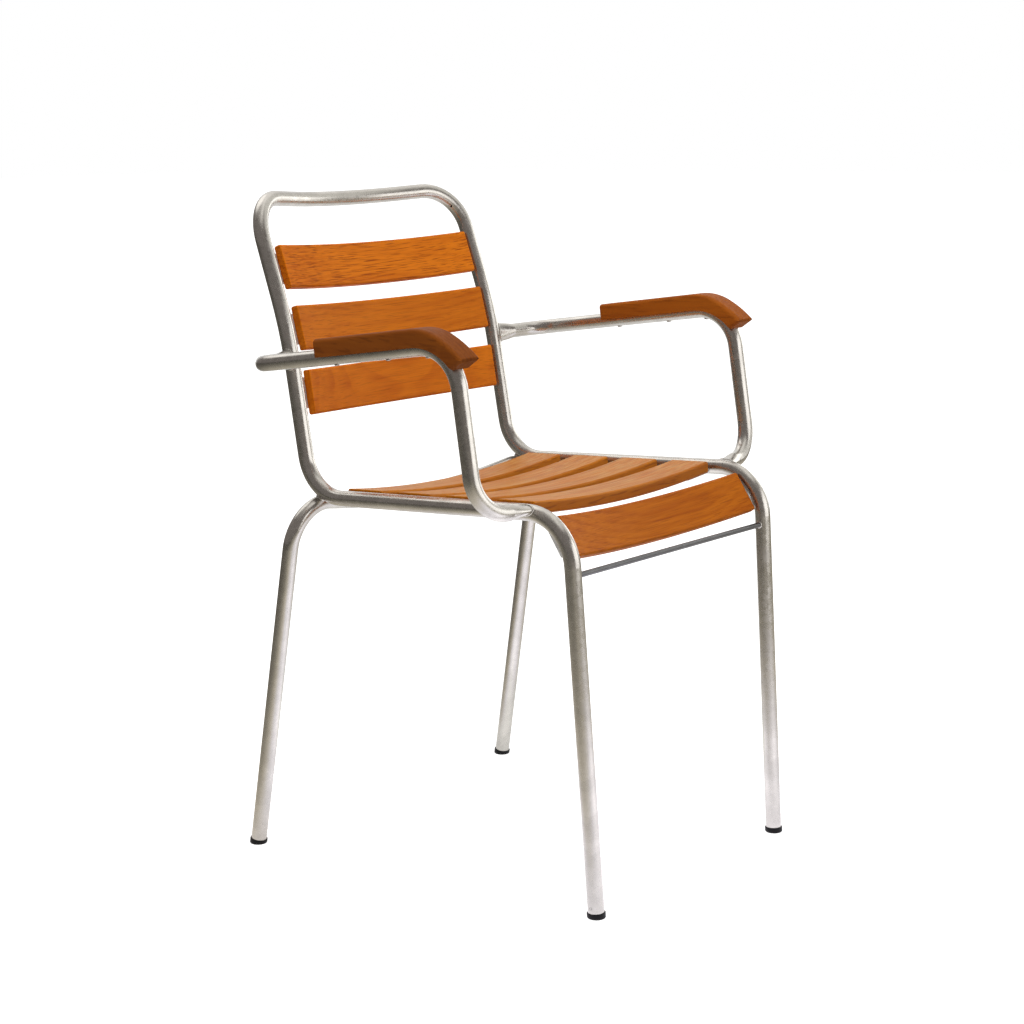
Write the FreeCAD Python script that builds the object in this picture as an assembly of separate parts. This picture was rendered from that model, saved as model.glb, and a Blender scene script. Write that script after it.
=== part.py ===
import FreeCAD, Part
import math
import os

# Stackable garden armchair: bent steel tube, bowed wooden slats and two carved armrests.
# Millimetres. +Z is up, the chair faces -Y, and the sitter's left is +X.
# Places along Y are measured from the middle between the front and rear feet. The finished chair is
# then moved along Y once, so that its origin lies on the floor under the middle of its outline.

V = FreeCAD.Vector

# Tube
TUBE_D = 20.0
TUBE_WALL = 1.5
WELD_GAP = 0.3
CUT_OVERRUN = 2.0

# Main frame: half widths, places along Y, heights and bend radii, all on the tube's centreline
FRONT_FOOT_HALF_W = 193.6
FRONT_FOOT_Y = -253.4
SEAT_FRONT_HALF_W = 202.9
SEAT_FRONT_Y = -224.4
SEAT_FRONT_Z = 477.3
FRONT_BEND_R = 61.4
SEAT_REAR_HALF_W = 200.2
SEAT_REAR_Y = 189.0
SEAT_REAR_Z = 456.9
REAR_BEND_R = 58.6
WAIST_HALF_W = 199.6
WAIST_Y = 224.9
WAIST_Z = 662.7
WAIST_BEND_R = 561.0
TOP_HALF_W = 198.3
TOP_Y = 284.7
TOP_Z = 832.3
TOP_BEND_R = 60.0
TOP_BOW_BACK = 51.1
TOP_BOW_DROP = 11.4
TOP_BOW_R = 421.0
DRAIN_HOLE_D = 4.5
DRAIN_BELOW_TOP = 26.0

# Rear leg frame: a flat U of the same tube, its cross part sunk in the middle and welded under the rear bends
REAR_FOOT_HALF_W = 249.8
REAR_FOOT_Y = 253.4
REAR_LEG_LEAN = 9.6
REAR_CORNER_HALF_W = 242.8
REAR_CORNER_R = 55.0
REAR_CROSS_SLOPE = 8.0
REAR_BOW_R = 1170.0

# Arm tubes
ARM_OUT = 81.1
ARM_FOOT_Y = -166.0
ARM_FOOT_Z = 478.0
ARM_HEEL_Y = -153.5
ARM_HEEL_Z = 479.0
ARM_HEEL_R = 48.0
ARM_FRONT_Y = -124.0
ARM_FRONT_Z = 675.5
ARM_FRONT_R = 53.0
ARM_REAR_Y = 201.0
ARM_REAR_Z = 632.0
ARM_REAR_R = 40.0
ARM_TAIL_Y = 217.0
ARM_TAIL_Z = 630.0
CRIMP_LENGTH = 22.0
CRIMP_THICKNESS = 12.0
CRIMP_HALF_WAY_SHARE = 0.6

# Rod between the front legs
ROD_D = 7.0
ROD_Z = 406.0

# Foot plugs
CAP_RIM = 1.3
CAP_HEAD_H = 7.0
CAP_EDGE_R = 2.2
CAP_STEM_L = 18.0
CAP_STEM_GAP = 0.2
CAP_RIB_H = 1.2
CAP_RIB_DEPTH = 0.8
CAP_RIBS = 3

# Slats
SLAT_END_GAP = 6.8
FRONT_SLAT_END_GAP = 5.3
SLAT_EDGE_R = 3.0
SLAT_END_R = 1.2
SEAT_SLAT_W = 58.0
SEAT_SLAT_T = 15.0
SEAT_SLAT_FIRST_Y = -128.4
SEAT_SLAT_PITCH = 81.0
SEAT_SLAT_RISE = 9.6
SEAT_SLAT_BOWS = {"seat_slat_1": 9.5, "seat_slat_2": 10.5, "seat_slat_3": 12.0, "seat_slat_4": 12.0}
BACK_SLAT_T = 12.0
BACK_SLAT_BOW = 18.0
BACK_SLAT_W = 57.5
BACK_SLAT_HEIGHTS = {"back_slat_bottom": 585.9, "back_slat_middle": 666.5, "back_slat_top": 742.8}
FRONT_SLAT_W = 54.0
FRONT_SLAT_T = 12.0
FRONT_SLAT_BOW = 18.5
FRONT_SLAT_Y = -212.0
FRONT_SLAT_Z = 450.3
FRONT_SLAT_TILT = 56.5

# Lugs and slat screws
LUG_W = 40.0
LUG_T = 3.0
LUG_END_R = 6.0
LUG_UNDER_SLAT = 36.0
LUG_SCREW_IN = 20.0
LUG_SCREWS_APART = 22.0
SLAT_GAP = 0.2
SCREW_D = 4.0
SCREW_HEAD_D = 8.0
SCREW_HEAD_H = 2.4
SCREW_BITE = 8.0
SCREW_POINT = 3.0
SCREW_GAP = 0.15

# Armrests
REST_W = 35.0
REST_COVER = 13.0
REST_SKIRT = 1.0
REST_REAR_Y = 80.0
REST_NOSE_ANGLE = 33.0
REST_TIP_ANGLE = 66.0
REST_TIP_FLARE = 6.5
REST_LIP_ANGLE = 67.0
REST_LIP_FLARE = 8.5
REST_TOP_R = 5.0
REST_EDGE_R = 2.0
REST_TIP_R = 3.0
REST_SCREWS_Y = (60.7, -22.3)
REST_SCREW_ANGLE = 15.0

TUBE_R = TUBE_D / 2
BORE_R = TUBE_R - TUBE_WALL

# The arms stand out beyond the seat rails. The slats end short of the posts where those are closest
# together, and the front slat ends short of the front legs.
arm_half_w = SEAT_FRONT_HALF_W + ARM_OUT
slat_half_l = TOP_HALF_W - TUBE_R - SLAT_END_GAP
front_slat_share = FRONT_SLAT_Z / SEAT_FRONT_Z
front_leg_half_w = FRONT_FOOT_HALF_W + (SEAT_FRONT_HALF_W - FRONT_FOOT_HALF_W) * front_slat_share
front_slat_half_l = front_leg_half_w - TUBE_R - FRONT_SLAT_END_GAP


def mirror_point(point):
    return V(-point.x, point.y, point.z)


def mirrored(shape):
    return shape.mirror(V(0, 0, 0), V(1, 0, 0))


def corner_arc(before, corner, after, radius):
    """Start, middle, end and centre of the arc that rounds a corner of a path."""
    into = (corner - before).normalize()
    out = (after - corner).normalize()
    half_turn = into.getAngle(out) / 2
    reach = radius * math.tan(half_turn)
    inward = (out - into).normalize()
    centre = corner + inward * (radius / math.cos(half_turn))
    return corner - into * reach, centre - inward * radius, corner + out * reach, centre


def bent_path(corners, radii):
    """Straight runs joined by tangent arcs, one radius for each inner corner."""
    edges = []
    here = corners[0]
    for i, radius in enumerate(radii):
        start, middle, end, _ = corner_arc(corners[i], corners[i + 1], corners[i + 2], radius)
        edges.append(Part.LineSegment(here, start).toShape())
        edges.append(Part.Arc(start, middle, end).toShape())
        here = end
    edges.append(Part.LineSegment(here, corners[-1]).toShape())
    return Part.Wire(edges)


def swept(path, radius):
    """Solid round bar along a path."""
    first = path.Edges[0]
    start = first.valueAt(first.FirstParameter)
    along = first.tangentAt(first.FirstParameter)
    ring = Part.Wire(Part.Circle(start, along, radius).toShape())
    return path.makePipeShell([ring], True, False)


def cylinder_between(start, end, radius):
    along = end - start
    return Part.makeCylinder(radius, along.Length, start, along)


# Main frame path, from the left front foot to the right one
left_side = [
    V(FRONT_FOOT_HALF_W, FRONT_FOOT_Y, 0),
    V(SEAT_FRONT_HALF_W, SEAT_FRONT_Y, SEAT_FRONT_Z),
    V(SEAT_REAR_HALF_W, SEAT_REAR_Y, SEAT_REAR_Z),
    V(WAIST_HALF_W, WAIST_Y, WAIST_Z),
    V(TOP_HALF_W, TOP_Y, TOP_Z),
]
top_middle = V(0, TOP_Y + TOP_BOW_BACK, TOP_Z - TOP_BOW_DROP)
front_foot, seat_front, seat_rear, waist, top_corner = left_side
front_leg_along = (seat_front - front_foot).normalize()
post_along = (top_corner - waist).normalize()
side_radii = [FRONT_BEND_R, REAR_BEND_R, WAIST_BEND_R, TOP_BEND_R]


def leg_start(foot, along):
    """Where the tube ends above the head of its foot plug."""
    return foot + along * (CAP_HEAD_H / along.z)


main_corners = [leg_start(front_foot, front_leg_along)] + left_side[1:]
main_path = bent_path(
    main_corners + [top_middle] + [mirror_point(p) for p in reversed(main_corners)],
    side_radii + [TOP_BOW_R] + list(reversed(side_radii)),
)
side_path = bent_path(main_corners + [top_middle], side_radii)
side_envelope = swept(side_path, TUBE_R + WELD_GAP)


def main_frame():
    tube = swept(main_path, TUBE_R).cut(swept(main_path, BORE_R))
    below = top_corner - post_along * (TOP_BEND_R * math.tan(math.pi / 4))
    hole_at = below + (top_corner - below).normalize() * (TOP_BEND_R - DRAIN_BELOW_TOP)
    drain = cylinder_between(hole_at, hole_at - V(TUBE_D, 0, 0), DRAIN_HOLE_D / 2)
    return tube.cut(drain)


def seat_rail_point(y):
    """Point of the left seat rail's centreline at a place along Y."""
    share = (y - SEAT_FRONT_Y) / (SEAT_REAR_Y - SEAT_FRONT_Y)
    return seat_front + (seat_rear - seat_front) * share


def post_point(z):
    """Point and upward direction of the left post's centreline at a height."""
    bend_start, _, bend_end, centre = corner_arc(seat_rear, waist, top_corner, WAIST_BEND_R)
    if z <= bend_start.z:
        along = (waist - seat_rear).normalize()
        return waist + along * ((z - waist.z) / along.z), along
    if z >= bend_end.z:
        return waist + post_along * ((z - waist.z) / post_along.z), post_along
    rise = z - centre.z
    level = math.copysign(math.sqrt(WAIST_BEND_R ** 2 - rise ** 2), waist.y - centre.y)
    along = V(0, -rise, level).normalize()
    if along.z < 0:
        along = along * -1
    return V(waist.x, centre.y + level, z), along


# Rear leg frame path: it lies in the plane of its legs and just touches the underside of the rear bends
leg_lean = math.radians(REAR_LEG_LEAN)
leg_rise = V(0, -math.sin(leg_lean), math.cos(leg_lean))
cross_sink = math.tan(math.radians(REAR_CROSS_SLOPE))
rear_bend_centre = corner_arc(seat_front, seat_rear, waist, REAR_BEND_R)[3]


def rear_point(x, rise):
    """Point in the plane of the rear legs."""
    return V(x, REAR_FOOT_Y, 0) + leg_rise * rise


def rear_corner_rise():
    """Rise of the U's sharp corner for which its rounded path touches the rear bend."""
    to_bend = rear_bend_centre - rear_point(rear_bend_centre.x, 0)
    level = to_bend.dot(leg_rise)
    beside = math.sqrt(to_bend.Length ** 2 - level ** 2)
    touch = level - math.sqrt((REAR_BEND_R + TUBE_D + WELD_GAP) ** 2 - beside ** 2)
    _, _, arc_end, centre = corner_arc(
        rear_point(REAR_FOOT_HALF_W, 0),
        rear_point(REAR_CORNER_HALF_W, touch),
        rear_point(0, touch - REAR_CORNER_HALF_W * cross_sink),
        REAR_CORNER_R,
    )
    if rear_bend_centre.x < arc_end.x:
        return touch + (REAR_CORNER_HALF_W - rear_bend_centre.x) * cross_sink
    centre_rise = (centre - rear_point(centre.x, 0)).dot(leg_rise)
    return 2 * touch - centre_rise - math.sqrt(REAR_CORNER_R ** 2 - (rear_bend_centre.x - centre.x) ** 2)


rear_foot = rear_point(REAR_FOOT_HALF_W, 0)
rear_corner = rear_point(REAR_CORNER_HALF_W, rear_corner_rise())
cross_middle = rear_corner - V(REAR_CORNER_HALF_W, 0, 0) - leg_rise * (REAR_CORNER_HALF_W * cross_sink)
rear_leg_along = (rear_corner - rear_foot).normalize()


def rear_leg_frame():
    corners = [leg_start(rear_foot, rear_leg_along), rear_corner, cross_middle]
    path = bent_path(
        corners + [mirror_point(p) for p in reversed(corners[:-1])],
        [REAR_CORNER_R, REAR_BOW_R, REAR_CORNER_R],
    )
    return swept(path, TUBE_R).cut(swept(path, BORE_R))


# Arm tube path on the left side
arm_foot = V(seat_rail_point(ARM_FOOT_Y).x, ARM_FOOT_Y, ARM_FOOT_Z)
arm_heel = V(arm_half_w, ARM_HEEL_Y, ARM_HEEL_Z)
arm_front = V(arm_half_w, ARM_FRONT_Y, ARM_FRONT_Z)
arm_rear = V(arm_half_w, ARM_REAR_Y, ARM_REAR_Z)
arm_tail = V(post_point(ARM_TAIL_Z)[0].x, ARM_TAIL_Y, ARM_TAIL_Z)
arm_slope = (arm_rear - arm_front).normalize()
arm_bend_start, _, arm_bend_end, arm_bend_centre = corner_arc(arm_heel, arm_front, arm_rear, ARM_FRONT_R)


def flattened_ring(centre, along, wide, thickness, wall):
    """Oval section of the flattened tube; its outline keeps about the round tube's length."""
    wide = (wide - along * wide.dot(along)).normalize()
    thin = along.cross(wide)
    half_t = thickness / 2
    half_w = math.sqrt(2 * TUBE_R ** 2 - half_t ** 2)
    if thickness >= TUBE_D:
        ring = Part.Circle(centre, along, TUBE_R - wall)
        ring.XAxis = wide
        return Part.Wire(ring.toShape())
    return Part.Wire(Part.Ellipse(
        centre + wide * (half_w - wall), centre + thin * (half_t - wall), centre).toShape())


def crimp(end, along, wide, wall):
    """Flattened end of an arm tube: it runs from the round tube to the end point."""
    half_way_t = TUBE_D - (TUBE_D - CRIMP_THICKNESS) * CRIMP_HALF_WAY_SHARE
    flat_l = TUBE_R
    begin = end - along * (CRIMP_LENGTH + flat_l)
    rings = [
        flattened_ring(begin, along, wide, TUBE_D, wall),
        flattened_ring(begin + along * (CRIMP_LENGTH / 2), along, wide, half_way_t, wall),
        flattened_ring(end - along * flat_l, along, wide, CRIMP_THICKNESS, wall),
        flattened_ring(end, along, wide, CRIMP_THICKNESS, wall),
    ]
    return Part.makeLoft(rings, True, False)


def arm_solid(wall):
    """The arm tube filled out to its surface (wall 0), or its bore (wall of the tube)."""
    foot_along = (arm_foot - arm_heel).normalize()
    tail_along = (arm_tail - arm_rear).normalize()
    crimp_run = CRIMP_LENGTH + TUBE_R
    path = bent_path(
        [arm_foot - foot_along * crimp_run, arm_heel, arm_front, arm_rear, arm_tail - tail_along * crimp_run],
        [ARM_HEEL_R, ARM_FRONT_R, ARM_REAR_R],
    )
    rail_along = (seat_rear - seat_front).normalize()
    body = swept(path, TUBE_R - wall)
    lower = crimp(arm_foot, foot_along, rail_along, wall)
    upper = crimp(arm_tail, tail_along, post_point(ARM_TAIL_Z)[1], wall)
    return body.fuse([lower, upper])


def armrest_screw_places():
    """Place on the arm's centreline and upward direction of each armrest screw."""
    up = V(1, 0, 0).cross(arm_slope)
    places = []
    for y in REST_SCREWS_Y:
        share = (y - ARM_FRONT_Y) / (ARM_REAR_Y - ARM_FRONT_Y)
        places.append((arm_front + (arm_rear - arm_front) * share, up))
    spoke = FreeCAD.Rotation(V(1, 0, 0), REST_SCREW_ANGLE).multVec(up)
    places.append((arm_bend_centre + spoke * ARM_FRONT_R, spoke))
    return places


def screw(seat, up, shank_length):
    """Pan-head screw: its head lies under the seat point and its shank runs up from it."""
    radius = SCREW_D / 2
    head_r = SCREW_HEAD_D / 2
    corners = [
        V(0, 0, -SCREW_HEAD_H),
        V(head_r - SCREW_HEAD_H / 2, 0, -SCREW_HEAD_H),
        V(head_r, 0, -SCREW_HEAD_H / 2),
        V(head_r, 0, 0),
        V(radius, 0, 0),
        V(radius, 0, shank_length - SCREW_POINT),
        V(0, 0, shank_length),
        V(0, 0, -SCREW_HEAD_H),
    ]
    solid = Part.Face(Part.makePolygon(corners)).revolve(V(0, 0, 0), V(0, 0, 1), 360)
    solid.Placement = FreeCAD.Placement(seat, FreeCAD.Rotation(V(0, 0, 1), up))
    return solid


def armrest_screws():
    """The screws of the left armrest, their heads under the arm tube."""
    reach = TUBE_R + SCREW_GAP
    length = reach + TUBE_R + SCREW_BITE
    return [screw(place - up * reach, up, length) for place, up in armrest_screw_places()]


def screw_hole(place, up, length):
    return cylinder_between(place - up * length, place + up * length, SCREW_D / 2 + SCREW_GAP)


def arm_tube():
    tube = arm_solid(0).cut(arm_solid(TUBE_WALL)).cut(side_envelope)
    for place, up in armrest_screw_places():
        tube = tube.cut(screw_hole(place, up, TUBE_D))
    return tube


def bend_point(turn, radius):
    """Point beside the arm's front bend, by its turn from the start of the slope and its radius."""
    up = V(1, 0, 0).cross(arm_slope)
    return arm_bend_centre + FreeCAD.Rotation(V(1, 0, 0), turn).multVec(up) * radius


def tangent_arc(start, outward, end):
    """Arc between two points whose spoke at the start points outward."""
    chord = end - start
    radius = -chord.Length ** 2 / (2 * chord.dot(outward))
    centre = start - outward * radius
    middle = centre + (start - centre + end - centre).normalize() * radius
    return Part.Arc(start, middle, end).toShape()


def armrest():
    """Carved rest: it follows the arm's front bend, flares to its tip and is hollowed for the tube."""
    up = V(1, 0, 0).cross(arm_slope)
    top_r = ARM_FRONT_R + TUBE_R + REST_COVER
    under_r = ARM_FRONT_R + REST_SKIRT
    rear = arm_front + arm_slope * ((REST_REAR_Y - ARM_FRONT_Y) / arm_slope.y)
    rear_top = rear + up * (TUBE_R + REST_COVER)
    rear_under = rear + up * REST_SKIRT
    nose_start = bend_point(REST_NOSE_ANGLE, top_r)
    nose_tip = bend_point(REST_TIP_ANGLE, top_r + REST_TIP_FLARE)
    lip = bend_point(REST_LIP_ANGLE, under_r + REST_LIP_FLARE)
    under_start = bend_point(0, under_r)
    outline = Part.Wire([
        Part.LineSegment(rear_under, rear_top).toShape(),
        Part.LineSegment(rear_top, bend_point(0, top_r)).toShape(),
        Part.Arc(bend_point(0, top_r), bend_point(REST_NOSE_ANGLE / 2, top_r), nose_start).toShape(),
        tangent_arc(nose_start, (nose_start - arm_bend_centre).normalize(), nose_tip),
        Part.LineSegment(nose_tip, lip).toShape(),
        tangent_arc(under_start, up, lip),
        Part.LineSegment(under_start, rear_under).toShape(),
    ])
    block = Part.Face(outline).extrude(V(REST_W, 0, 0))
    block.translate(V(-REST_W / 2, 0, 0))
    top_edges = []
    for edge in block.Edges:
        middle = edge.valueAt((edge.FirstParameter + edge.LastParameter) / 2)
        side = abs(middle.x - arm_half_w)
        if side > REST_W / 4:
            away = (middle - arm_bend_centre).Length
            behind = (middle - rear).dot(arm_slope)
            above = (middle - rear).dot(up)
            if middle.y > arm_bend_end.y:
                on_top = above > (TUBE_R + REST_COVER) / 2 and behind < -REST_EDGE_R
            else:
                on_top = away > top_r - REST_EDGE_R and (middle - lip).Length > REST_COVER
            if on_top:
                top_edges.append(edge)
    solid = block.makeFillet(REST_TOP_R, top_edges)
    rear_edges = [e for e in solid.Edges if abs((e.CenterOfMass - rear).dot(arm_slope)) < CUT_OVERRUN / 10]
    solid = solid.makeFillet(REST_EDGE_R, rear_edges)
    tip_edges = [e for e in block.Edges
                 if (e.CenterOfMass - nose_tip).Length < REST_TIP_R and e.Length > REST_W / 2]
    solid = solid.common(block.makeFillet(REST_TIP_R, tip_edges))
    groove = swept(bent_path([arm_heel, arm_front, arm_rear], [ARM_FRONT_R]), TUBE_R + SLAT_GAP)
    solid = solid.cut(groove)
    for place, up in armrest_screw_places():
        pilot_end = place + up * (TUBE_R + SCREW_BITE + CUT_OVERRUN)
        solid = solid.cut(cylinder_between(place, pilot_end, SCREW_D / 2 + SCREW_GAP))
    return solid


def place_on(origin, across, normal):
    """Placement of a slat: its length along X, its width across and its face towards the normal."""
    return FreeCAD.Placement(origin, FreeCAD.Rotation(V(1, 0, 0), across, normal, "XZY"))


def slat_blank(half_l, width, thickness, bow):
    """Bowed slat, its face at zero at the ends and sunk by the bow in the middle."""
    outline = Part.Wire([
        Part.Arc(V(-half_l, 0, 0), V(0, 0, -bow), V(half_l, 0, 0)).toShape(),
        Part.LineSegment(V(half_l, 0, 0), V(half_l, 0, -thickness)).toShape(),
        Part.Arc(V(half_l, 0, -thickness), V(0, 0, -bow - thickness), V(-half_l, 0, -thickness)).toShape(),
        Part.LineSegment(V(-half_l, 0, -thickness), V(-half_l, 0, 0)).toShape(),
    ])
    solid = Part.Face(outline).extrude(V(0, width, 0))
    solid.translate(V(0, -width / 2, 0))
    long_edges = [e for e in solid.Edges if e.Length > half_l]
    solid = solid.makeFillet(SLAT_EDGE_R, long_edges)
    end_edges = [e for e in solid.Edges if abs(abs(e.CenterOfMass.x) - half_l) < CUT_OVERRUN / 10]
    return solid.makeFillet(SLAT_END_R, end_edges)


def underside(x, half_l, thickness, bow):
    """Height and slope of a slat's underside at a place along its length."""
    radius = (half_l ** 2 + bow ** 2) / (2 * bow)
    sink = math.sqrt(radius ** 2 - x ** 2) - (radius - bow)
    return -thickness - sink, math.atan(x / math.sqrt(radius ** 2 - x ** 2))


def lug_and_screws(half_l, thickness, bow):
    """Left lug, its two screws and their pilot holes in the slat's own frame, square to the underside."""
    screw_x = half_l - LUG_SCREW_IN
    height, slope = underside(screw_x, half_l, thickness, bow)
    up = V(-math.sin(slope), 0, math.cos(slope))
    out = V(math.cos(slope), 0, math.sin(slope))
    top = V(screw_x, 0, height) - up * SLAT_GAP
    inner = (LUG_SCREW_IN - LUG_UNDER_SLAT) / math.cos(slope)
    outer = (SEAT_FRONT_HALF_W - screw_x) / math.cos(slope)
    lug = Part.makeBox(outer - inner, LUG_W, LUG_T, V(inner, -LUG_W / 2, -LUG_T))
    tip_edges = [e for e in lug.Edges if abs(e.CenterOfMass.x - inner) < CUT_OVERRUN / 10
                 and e.Length < LUG_W / 2]
    lug = lug.makeFillet(LUG_END_R, tip_edges)
    lug.Placement = FreeCAD.Placement(top, FreeCAD.Rotation(out, V(0, 1, 0), up, "XZY"))
    fasteners = []
    pilots = []
    for side in (-1, 1):
        seat = top + V(0, side * LUG_SCREWS_APART / 2, 0)
        lug = lug.cut(screw_hole(seat, up, LUG_T + CUT_OVERRUN))
        head_seat = seat - up * (LUG_T + SCREW_GAP)
        fasteners.append(screw(head_seat, up, LUG_T + SCREW_GAP + SLAT_GAP + SCREW_BITE))
        pilot_top = seat + up * (SCREW_BITE + CUT_OVERRUN / 2)
        pilots.append(cylinder_between(seat, pilot_top, SCREW_D / 2 + SCREW_GAP))
    return lug, fasteners, pilots


def slat_set(name, half_l, width, thickness, bow, placement):
    """A slat with its two lugs and four screws, placed on the frame."""
    lug, fasteners, pilots = lug_and_screws(half_l, thickness, bow)
    slat = slat_blank(half_l, width, thickness, bow)
    for pilot in pilots:
        slat = slat.cut(pilot).cut(mirrored(pilot))
    slat.Placement = placement
    lug.Placement = placement.multiply(lug.Placement)
    for fastener in fasteners:
        fastener.Placement = placement.multiply(fastener.Placement)
    lug = lug.cut(side_envelope)
    pieces[name] = slat
    pieces["lug_" + name + "_left"] = lug
    pieces["lug_" + name + "_right"] = mirrored(lug)
    return fasteners + [mirrored(fastener) for fastener in fasteners]


def foot_cap(foot, along):
    """Plug with a rounded head, cut flat where it meets the floor, and a ribbed stem in the bore."""
    head_r = TUBE_R + CAP_RIM
    stem_r = BORE_R - CAP_STEM_GAP
    head_top = CAP_HEAD_H / along.z - WELD_GAP
    low = -TUBE_R
    head = Part.makeCylinder(head_r, head_top - low, V(0, 0, low))
    stem = Part.makeCylinder(stem_r - CAP_RIB_DEPTH, CAP_STEM_L, V(0, 0, head_top))
    for i in range(CAP_RIBS):
        rib_z = head_top + CAP_STEM_L * (i + 1) / (CAP_RIBS + 1)
        stem = stem.fuse(Part.makeCone(stem_r, stem_r - CAP_RIB_DEPTH, CAP_RIB_H, V(0, 0, rib_z)))
    plug = head.fuse(stem)
    plug.Placement = FreeCAD.Placement(foot, FreeCAD.Rotation(V(0, 0, 1), along))
    reach = TUBE_D * 2
    floor = Part.makeBox(reach, reach, reach, foot - V(reach / 2, reach / 2, reach))
    plug = plug.cut(floor)
    sole_edges = [e for e in plug.Edges if abs(e.BoundBox.ZMax) < CUT_OVERRUN / 10]
    return plug.makeFillet(CAP_EDGE_R, sole_edges)


def front_cross_rod():
    share = ROD_Z / SEAT_FRONT_Z
    end = front_foot + (seat_front - front_foot) * share
    rod = cylinder_between(end, mirror_point(end), ROD_D / 2)
    return rod.cut(side_envelope).cut(mirrored(side_envelope))


pieces = {}
pieces["main_frame"] = main_frame()
pieces["rear_leg_frame"] = rear_leg_frame()
pieces["left_arm_tube"] = arm_tube()
pieces["right_arm_tube"] = mirrored(pieces["left_arm_tube"])
pieces["left_armrest"] = armrest()
pieces["right_armrest"] = mirrored(pieces["left_armrest"])
pieces["front_cross_rod"] = front_cross_rod()
pieces["foot_cap_front_left"] = foot_cap(front_foot, front_leg_along)
pieces["foot_cap_front_right"] = mirrored(pieces["foot_cap_front_left"])
pieces["foot_cap_rear_left"] = foot_cap(rear_foot, rear_leg_along)
pieces["foot_cap_rear_right"] = mirrored(pieces["foot_cap_rear_left"])

# Seat slats, front to rear, square to the seat rail
rail_back = V(0, SEAT_REAR_Y - SEAT_FRONT_Y, SEAT_REAR_Z - SEAT_FRONT_Z).normalize()
rail_up = V(1, 0, 0).cross(rail_back)
seat_fasteners = []
for i, (name, bow) in enumerate(SEAT_SLAT_BOWS.items()):
    on_rail = seat_rail_point(SEAT_SLAT_FIRST_Y + i * SEAT_SLAT_PITCH)
    face = V(0, on_rail.y, on_rail.z) + rail_up * SEAT_SLAT_RISE
    seat_fasteners += slat_set(
        name, slat_half_l, SEAT_SLAT_W, SEAT_SLAT_T, bow, place_on(face, rail_back, rail_up))

# Back slats, their faces level with the front of the posts
back_fasteners = []
for name, height in BACK_SLAT_HEIGHTS.items():
    on_post, along = post_point(height)
    up = V(0, along.y, along.z).normalize()
    forward = V(1, 0, 0).cross(up)
    face = V(0, on_post.y, on_post.z) + forward * TUBE_R
    back_fasteners += slat_set(
        name, slat_half_l, BACK_SLAT_W, BACK_SLAT_T, BACK_SLAT_BOW, place_on(face, up, forward))

# Slanted slat inside the front bends
tilt = math.radians(FRONT_SLAT_TILT)
front_across = V(0, math.cos(tilt), math.sin(tilt))
front_fasteners = slat_set(
    "front_slat", front_slat_half_l, FRONT_SLAT_W, FRONT_SLAT_T, FRONT_SLAT_BOW,
    place_on(V(0, FRONT_SLAT_Y, FRONT_SLAT_Z), front_across, V(1, 0, 0).cross(front_across)),
)

rest_fasteners = armrest_screws()
rest_fasteners += [mirrored(s) for s in rest_fasteners]
pieces["seat_slat_screws"] = Part.makeCompound(seat_fasteners)
pieces["back_slat_screws"] = Part.makeCompound(back_fasteners)
pieces["front_slat_screws"] = Part.makeCompound(front_fasteners)
pieces["armrest_screws"] = Part.makeCompound(rest_fasteners)

# The origin lies under the middle of the outline, which runs from the front plugs to the top rail's bow
front_reach = pieces["foot_cap_front_left"].optimalBoundingBox(False, False).YMin
rear_reach = pieces["main_frame"].optimalBoundingBox(False, False).YMax
shift = V(0, -(front_reach + rear_reach) / 2, 0)

os.makedirs("parts", exist_ok=True)
for name, shape in pieces.items():
    shape.translate(shift)
    shape.exportStep("parts/" + name + ".step")
print("pieces", len(pieces), "shift", round(shift.y, 3))
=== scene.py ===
import math

import bmesh
import bpy
from bpy.props import FloatProperty, FloatVectorProperty, IntProperty, PointerProperty
from mathutils import Matrix, Vector
from mathutils.bvhtree import BVHTree


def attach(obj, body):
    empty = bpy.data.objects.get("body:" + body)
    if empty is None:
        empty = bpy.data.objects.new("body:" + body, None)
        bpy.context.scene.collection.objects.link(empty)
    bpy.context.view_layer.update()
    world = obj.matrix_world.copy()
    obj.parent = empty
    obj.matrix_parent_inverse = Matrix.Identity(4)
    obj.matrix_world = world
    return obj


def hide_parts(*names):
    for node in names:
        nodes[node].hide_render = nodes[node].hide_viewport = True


bl_info = {
    "name": "Stacking Garden Armchair",
    "version": (1, 0, 0),
    "blender": (4, 5, 0),
    "location": "3D View > Sidebar > Chair",
    "description": "Finishes, welds, screws and studio of a steel and wood garden armchair",
    "category": "Object",
}

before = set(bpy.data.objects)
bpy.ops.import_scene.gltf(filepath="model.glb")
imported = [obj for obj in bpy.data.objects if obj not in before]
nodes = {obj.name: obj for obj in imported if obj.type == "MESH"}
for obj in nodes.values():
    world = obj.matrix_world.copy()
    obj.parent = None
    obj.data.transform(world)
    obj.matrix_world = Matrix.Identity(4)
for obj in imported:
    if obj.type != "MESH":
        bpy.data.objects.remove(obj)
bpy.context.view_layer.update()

TUBE_NODES = ["main_frame", "rear_leg_frame", "left_arm_tube", "right_arm_tube"]
LUG_NODES = sorted(n for n in nodes if n.startswith("lug_"))
SEAT_SLATS = sorted(n for n in nodes if n.startswith("seat_slat_") and "screws" not in n)
BACK_SLATS = [  # with how light each board is, and how open its pores are
    ("back_slat_bottom", 1.15, 0.3), ("back_slat_middle", 1.02, 0.35),
    ("back_slat_top", 1.14, 0.75), ("front_slat", 0.84, 0.35)]
ARMRESTS = [("left_armrest", 1.10), ("right_armrest", 0.70)]
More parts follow.
